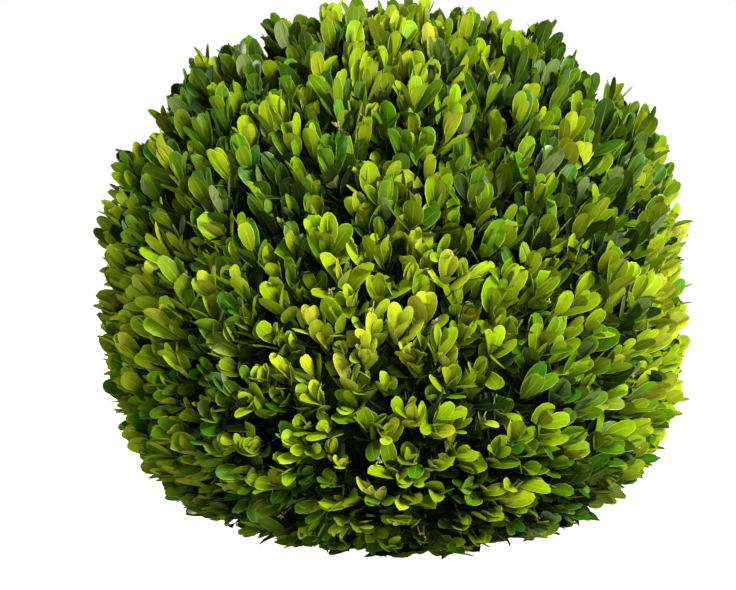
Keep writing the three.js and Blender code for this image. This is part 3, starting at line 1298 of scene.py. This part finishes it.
        # pale margin: partly the leaf's own, partly a painted highlight on its thin edge
        graph.feed(out["Colour"], graph.mix(graph.scaled(edge, self.margin_highlight_strength), ribbed, given["Rib"]))

        rougher = graph.math("SUBTRACT", given["Under Roughness"], given["Upper Roughness"])
        plain = graph.math("MULTIPLY_ADD", under, rougher, given["Upper Roughness"])
        uneven = graph.scaled(speck, self.speck_roughness, -self.speck_roughness / 2)
        graph.feed(out["Roughness"], graph.math("ADD", plain, uneven))
        groove = graph.math("MULTIPLY", rib, graph.scaled(under, 2.0, -1.0))
        graph.feed(out["Height"], graph.scaled(vein, self.vein_relief, groove))
        return graph.tree


@dataclass(frozen=True)
class BarkPattern:
    """Bark in place: furrows drawn out along the height, and paler and darker patches."""

    drawn: float = 0.25  # how fast the furrows change along the height, beside 1 across it
    furrow: Span = (0.35, 0.65)  # of the noise, from a furrow's floor to a ridge
    patch_scale: float = 60.0
    patch: Span = (0.45, 0.7)  # of the noise, from no tinge to all of it
    patch_strength: float = 0.6
    sheen: Span = (0.3, 0.7)  # of the noise, from the roughest to the smoothest
    roughness: Span = (0.95, 0.7)

    def build(self) -> bpy.types.NodeTree:
        """Builds the group.

        Returns:
            A group that puts out a colour, a roughness and a height.
        """
        inputs = {"Light": COLOUR, "Dark": COLOUR, "Tinge": COLOUR, "Grain": FLOAT}
        graph, given, out = new_group("bark_pattern", inputs, PATTERN_OUTPUTS)
        place = graph.node("ShaderNodeTexCoord").outputs["Object"]
        mapping = graph.node("ShaderNodeMapping")
        graph.feed(mapping.inputs["Vector"], place)
        mapping.inputs["Scale"].default_value = (1.0, 1.0, self.drawn)
        furrow = graph.noise(mapping.outputs[0], given["Grain"], detail=5.0)
        body = graph.mix(graph.ramp(furrow, self.furrow), given["Dark"], given["Light"])
        patch = graph.noise(place, self.patch_scale, detail=2.0)
        tinged = graph.ramp(patch, self.patch, 0.0, self.patch_strength)
        graph.feed(out["Colour"], graph.mix(tinged, body, given["Tinge"]))
        graph.feed(out["Roughness"], graph.ramp(furrow, self.sheen, *self.roughness))
        graph.feed(out["Height"], furrow)
        return graph.tree


def patterned(
    name: str, group: bpy.types.NodeTree, values: dict[str, float | Colour], relief: float, gloss: float = 0.1
) -> bpy.types.Material:
    """A material whose colour, roughness and relief come from a pattern group.

    Args:
        name: the material's name.
        group: the pattern.
        values: the group's inputs by name.
        relief: the height of the pattern, in metres.
        gloss: how strongly the surface mirrors.

    Returns:
        The new material.
    """
    material = bpy.data.materials.new(name)
    material.use_nodes = True
    graph = Graph(material.node_tree)
    shader = material.node_tree.nodes["Principled BSDF"]
    pattern = graph.node("ShaderNodeGroup", node_tree=group)
    for label, value in values.items():
        graph.feed(pattern.inputs[label], value)
    bump = graph.node("ShaderNodeBump")
    bump.inputs["Distance"].default_value = relief
    bump.inputs["Strength"].default_value = BUMP_STRENGTH
    graph.feed(bump.inputs["Height"], pattern.outputs["Height"])
    graph.feed(shader.inputs["Base Color"], pattern.outputs["Colour"])
    graph.feed(shader.inputs["Roughness"], pattern.outputs["Roughness"])
    graph.feed(shader.inputs["Normal"], bump.outputs[0])
    shader.inputs["Specular IOR Level"].default_value = gloss
    return material


@dataclass(frozen=True)
class LeafFinish:
    """One tint of leaf, in screen colours."""

    label: str
    upper: Screen
    under: Screen
    # the midrib's colour, which the pale margin takes too, partly as a painted highlight
    rib: Screen
    share: float  # of the leaves that are dealt out
    upper_roughness: float = 0.45
    under_roughness: float = 0.65
    gloss: float = 0.11
    relief: float = 0.0002

    def material(self, group: bpy.types.NodeTree) -> bpy.types.Material:
        """The finish as a material.

        Args:
            group: the leaves' pattern.

        Returns:
            The new material.
        """
        values = {"Upper": linear(self.upper), "Under": linear(self.under), "Rib": linear(self.rib)}
        values |= {"Upper Roughness": self.upper_roughness, "Under Roughness": self.under_roughness}
        return patterned(f"leaf_{self.label}", group, values, self.relief, self.gloss)


class Tint(Enum):
    """The tints of the leaves, from the darkest to the palest."""

    DEEP = LeafFinish("deep_green", (37, 67, 2), (60, 92, 10), (128, 152, 38), 0.13)
    # partly a greyer leaf, partly a painted sheen of white light; its low roughness and high gloss are real
    GREYED = LeafFinish(
        "greyed_green", (84, 108, 42), (108, 126, 60), (150, 168, 84), 0.055,
        upper_roughness=0.3, under_roughness=0.6, gloss=0.5,
    )
    BOTTLE = LeafFinish(
        "bottle_green", (54, 98, 5), (88, 118, 16), (146, 176, 46), 0.09,
        upper_roughness=0.38, under_roughness=0.6, gloss=0.16,
    )
    MIDDLE = LeafFinish("middle_green", (78, 118, 2), (106, 134, 10), (170, 196, 46), 0.21)
    OLIVE = LeafFinish("olive_green", (105, 133, 2), (132, 148, 12), (188, 206, 52), 0.21)
    FRESH = LeafFinish("fresh_green", (130, 162, 3), (148, 172, 18), (198, 220, 60), 0.18)
    LIME = LeafFinish("lime_green", (146, 168, 8), (158, 176, 28), (200, 216, 76), 0.095)
    YELLOW = LeafFinish("yellow_green", (172, 184, 24), (180, 188, 48), (218, 226, 100), 0.03)


class InnerTint(Enum):
    """The tints of the leaves deep inside: darkened as painted shade, with pale rib colours that their
    margins take as painted highlights.
    """

    SHADED = LeafFinish("shaded_green", (17, 31, 1), (27, 42, 4), (76, 100, 28), 0.6)
    AGED = LeafFinish("aged_green", (26, 44, 2), (38, 58, 6), (84, 104, 30), 0.4)


@dataclass(frozen=True)
class BarkFinish:
    """One kind of bark, in screen colours."""

    label: str
    light: Screen
    dark: Screen
    tinge: Screen
    grain: float  # how fine its furrows are
    relief: float

    def material(self, group: bpy.types.NodeTree) -> bpy.types.Material:
        """The finish as a material of the bark's pattern group."""
        colours = {"Light": linear(self.light), "Dark": linear(self.dark), "Tinge": linear(self.tinge)}
        return patterned(f"bark_{self.label}", group, {**colours, "Grain": self.grain}, self.relief)


class Bark(Enum):
    """The kinds of bark, from the foot to the twigs."""

    STEM = BarkFinish("stem", (150, 134, 104), (84, 70, 50), (118, 116, 84), 420.0, 0.0008)
    BOUGH = BarkFinish("bough", (134, 118, 84), (76, 64, 42), (104, 104, 62), 600.0, 0.0004)
    TWIG = BarkFinish("twig", (112, 112, 50), (70, 66, 34), (92, 108, 40), 900.0, 0.0002)
    BARE_TWIG = BarkFinish("bare_twig", (124, 128, 84), (80, 82, 50), (104, 114, 60), 900.0, 0.0002)
    BUD = BarkFinish("bud", (176, 176, 124), (110, 106, 64), (138, 150, 78), 1400.0, 0.0002)


# ---------------------------------------------------------------- the plant and its setting


@dataclass
class Plant:
    """The whole plant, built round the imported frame."""

    top_allowance: float = 0.005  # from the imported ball's highest leaf tip to the clipped face
    side_allowance: float = 0.010  # and from its widest ones
    first_shape: TubeShape = TubeShape(8, 9, 0.06)
    second_shape: TubeShape = TubeShape(6, 7, 0.05)
    twig_shape: TubeShape = TubeShape(4, 6)
    outer_blade: Blade = Blade()
    inner_blade: Blade = Blade(levels=(0.2, 0.6, 0.9), columns=3)

    def __post_init__(self) -> None:
        """Takes the ball's and the stem's sizes from the frame."""
        low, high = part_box("foliage_ball")
        width = ((high.x - low.x) + (high.y - low.y)) / 2 + 2 * self.side_allowance
        self.face = ClippedFace(width=width, height=high.z + self.top_allowance)
        low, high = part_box("main_stem")
        self.stem = Stem(height=high.z, flare_radius=(high.y - low.y) / 2)
        self.boughs = Boughs(self.face, self.stem)
        self.sprigs = Sprigs(self.face)
        self.buds = Buds(self.face)

    def build_wood(self) -> None:
        """Makes the stem, the boughs, the twigs and the buds."""
        pattern = BarkPattern().build()
        first, second = self.boughs.grow()
        bare = self.buds.twigs(second)
        bark = {kind: kind.value.material(pattern) for kind in Bark}
        dress(self.stem.build(), bark[Bark.STEM], "bark", "main_stem")
        for name, shape, limbs, kind in (
            ("first_boughs", self.first_shape, first, Bark.BOUGH),
            ("second_boughs", self.second_shape, second, Bark.BOUGH),
            ("twigs", self.twig_shape, self.sprigs.twigs(second), Bark.TWIG),
            ("bare_twigs", self.twig_shape, bare, Bark.BARE_TWIG),
        ):
            dress(shape.build(name, limbs), bark[kind], "bark", "foliage_ball")
        dress(self.buds.build(bare), bark[Bark.BUD], "foliage", "foliage_ball")

    def _deal(self, leaves: Leaves, tints: type[Enum], blade: Blade, pattern: bpy.types.NodeTree) -> None:
        """Deals leaves out to their tints by rank, and makes a piece of each tint.

        Args:
            leaves: the leaves to deal.
            tints: the tints, darkest first, with the share of leaves that each takes.
            blade: the grid that these leaves are drawn on.
            pattern: the leaves' pattern group.
        """
        # the rank carries the score's painted light and shade into the tints
        rank = np.argsort(np.argsort(leaves.score)) / len(leaves.score)
        low = 0.0
        for tint in tints:
            finish = tint.value
            chosen = leaves.select((rank >= low) & (rank < low + finish.share))
            low += finish.share
            piece = blade.build(f"leaves_{finish.label}", chosen)
            dress(piece, finish.material(pattern), "foliage", "foliage_ball")

    def build_leaves(self) -> None:
        """Makes all the leaves: finely drawn where they show, plainer deep inside."""
        pattern = LeafPattern().build()
        shown = self.sprigs.outer_pairs
        pairs = [self.sprigs.pair(number) for number in range(shown + self.sprigs.inner_pairs)]
        outer, inner = Leaves.join(pairs[:shown]), Leaves.join(pairs[shown:])
        LOG.info("%d outer and %d inner leaves", len(outer.score), len(inner.score))
        self._deal(outer, Tint, self.outer_blade, pattern)
        self._deal(inner, InnerTint, self.inner_blade, pattern)


@dataclass(frozen=True)
class Lamp:
    """A soft square light: where it stands, how wide it is and its power in watts."""

    name: str
    place: tuple[float, float, float]
    size: float
    power: float

    def light(self, target: Vector) -> None:
        """Sets the light up, facing the target.

        Args:
            target: the point that it faces.
        """
        lamp = bpy.data.lights.new(self.name, "AREA")
        lamp.size = self.size
        lamp.energy = self.power
        holder = bpy.data.objects.new(self.name, lamp)
        holder.location = self.place
        holder.rotation_euler = (target - Vector(self.place)).to_track_quat("-Z", "Y").to_euler()
        bpy.context.scene.collection.objects.link(holder)


@dataclass
class Studio:
    """A plain pale floor, soft light and the camera."""

    target: Vector
    elevation: float = 3.0
    distance: float = 2.4
    lens: float = 184.0
    sensor: float = 36.0
    aim_left: float = 0.0173  # the ball stands this far right of the view's middle
    aim_down: float = 0.0148  # and this far above it
    surround: float = 0.056  # how bright the white surround is for the ball
    mirrored: float = 0.16  # in the sheen of its leaves
    backdrop: float = 1.0  # and behind it
    floor_reach: float = 12.0
    floor_tones: tuple[Colour, Colour] = ((0.46,) * 3, (0.5,) * 3)
    floor_patches: float = 0.8  # how fine its unevenness is
    floor_roughness: float = 0.8
    floor_glow: Span = (0.04, 0.99)  # for the ball, and for the camera, which sees the floor as white
    lamps: tuple[Lamp, ...] = (
        Lamp("key_light", (1.1, -1.85, 1.1), 0.7, 99.0),
        Lamp("left_light", (-1.85, -0.2, 0.6), 0.8, 26.0),
        Lamp("right_light", (1.7, 1.0, 0.5), 0.8, 4.0),
        Lamp("back_light", (-0.3, 2.3, 0.35), 0.8, 38.0),
        Lamp("low_light", (0.3, -2.1, 0.15), 0.6, 11.0),
    )

    def floor(self) -> None:
        """A wide pale floor with a faint unevenness of tone."""
        size = self.floor_reach
        mesh = bpy.data.meshes.new("floor")
        corners = [(-size, -size, 0), (size, -size, 0), (size, size, 0), (-size, size, 0)]
        mesh.from_pydata(corners, [], [(0, 1, 2, 3)])
        floor = bpy.data.objects.new("floor", mesh)
        bpy.context.scene.collection.objects.link(floor)
        material = bpy.data.materials.new("floor")
        material.use_nodes = True
        graph = Graph(material.node_tree)
        place = graph.node("ShaderNodeTexCoord").outputs["Object"]
        tone = graph.noise(place, self.floor_patches)
        shader = material.node_tree.nodes["Principled BSDF"]
        graph.feed(shader.inputs["Base Color"], graph.mix(tone, *self.floor_tones))
        shader.inputs["Roughness"].default_value = self.floor_roughness
        shader.inputs["Emission Color"].default_value = WHITE
        seen = graph.node("ShaderNodeLightPath").outputs["Is Camera Ray"]
        graph.feed(shader.inputs["Emission Strength"], graph.ramp(seen, WHOLE, *self.floor_glow))
        mesh.materials.append(material)

    def lights(self) -> None:
        """A key light from the upper right, weaker ones all round, and a white surround."""
        for lamp in self.lamps:
            lamp.light(self.target)
        world = bpy.data.worlds.new("surround")
        world.use_nodes = True
        graph = Graph(world.node_tree)
        background = world.node_tree.nodes["Background"]
        background.inputs["Color"].default_value = WHITE
        path = graph.node("ShaderNodeLightPath").outputs
        lit = graph.ramp(path["Is Glossy Ray"], WHOLE, self.surround, self.mirrored)
        seen = graph.ramp(path["Is Camera Ray"], WHOLE, lit, self.backdrop)
        graph.feed(background.inputs["Strength"], seen)
        bpy.context.scene.world = world

    def camera(self) -> None:
        """A long lens a little above the ball's middle, aimed beside it."""
        rise = math.radians(self.elevation)
        back = Vector((0.0, -math.cos(rise), math.sin(rise)))
        up = Vector((0.0, math.sin(rise), math.cos(rise)))
        data = bpy.data.cameras.new("camera")
        data.lens = self.lens
        data.sensor_width = self.sensor
        camera = bpy.data.objects.new("camera", data)
        aim = self.target - Vector((self.aim_left, 0, 0)) - up * self.aim_down
        camera.location = aim + back * self.distance
        camera.rotation_euler = (-back).to_track_quat("-Z", "Y").to_euler()
        bpy.context.scene.collection.objects.link(camera)
        bpy.context.scene.camera = camera

    def build(self) -> None:
        """Sets it all up."""
        self.floor()
        self.lights()
        self.camera()
        bpy.context.scene.view_settings.view_transform = "Standard"


def main() -> None:
    """Builds the setting and the plant."""
    logging.basicConfig(level=logging.INFO, format="%(name)s: %(message)s")
    plant = Plant()
    Studio(target=Vector(plant.face.middle)).build()
    plant.build_wood()
    plant.build_leaves()


if __name__ == "__main__":
    main()
